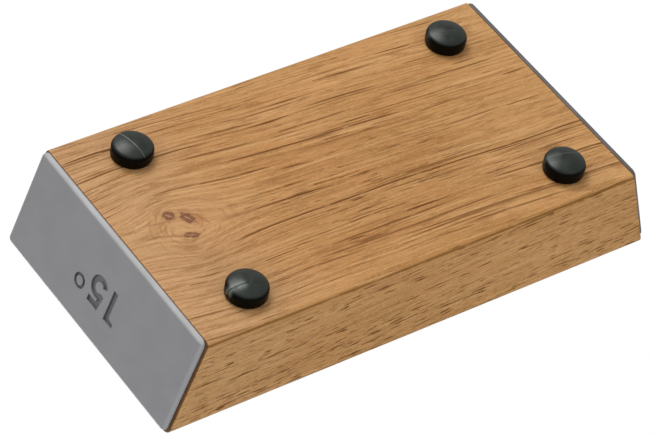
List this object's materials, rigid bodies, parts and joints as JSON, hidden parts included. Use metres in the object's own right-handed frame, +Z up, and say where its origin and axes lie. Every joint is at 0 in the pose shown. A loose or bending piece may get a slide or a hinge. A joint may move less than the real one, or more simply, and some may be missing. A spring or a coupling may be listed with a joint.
{
  "type": "leather strop",
  "caption": "Bench strop: a hardwood block with a leather face, out-of-square ends faced with angle-marked rubber pads, and push-in rubber feet.",
  "frame": {"origin": "middle of the footprint, at the bottom of the feet", "axes": "+X along the block from its 15 degree end to its 20 degree end, +Z up out of the leather"},
  "size_m": [0.1652, 0.0812, 0.04],
  "materials": {
    "oak": "planed and lightly sanded oak, unvarnished, open pores",
    "leather": "smooth vegetable-tanned leather, undyed, matt",
    "pad_rubber": "moulded grey rubber, matt",
    "foot_rubber": "moulded black rubber, satin",
    "contact_glue": "dried contact glue",
    "adhesive_film": "thin double-sided adhesive film"
  },
  "bodies": {
    "root": {"oak_block": "oak", "leather_strip": "leather", "leather_glue": "contact_glue", "end_pad_15": "pad_rubber", "end_pad_20": "pad_rubber", "end_film_15": "adhesive_film", "end_film_20": "adhesive_film", "foot_front_left": "foot_rubber", "foot_front_right": "foot_rubber", "foot_back_left": "foot_rubber", "foot_back_right": "foot_rubber"}
  },
  "joints": []
}
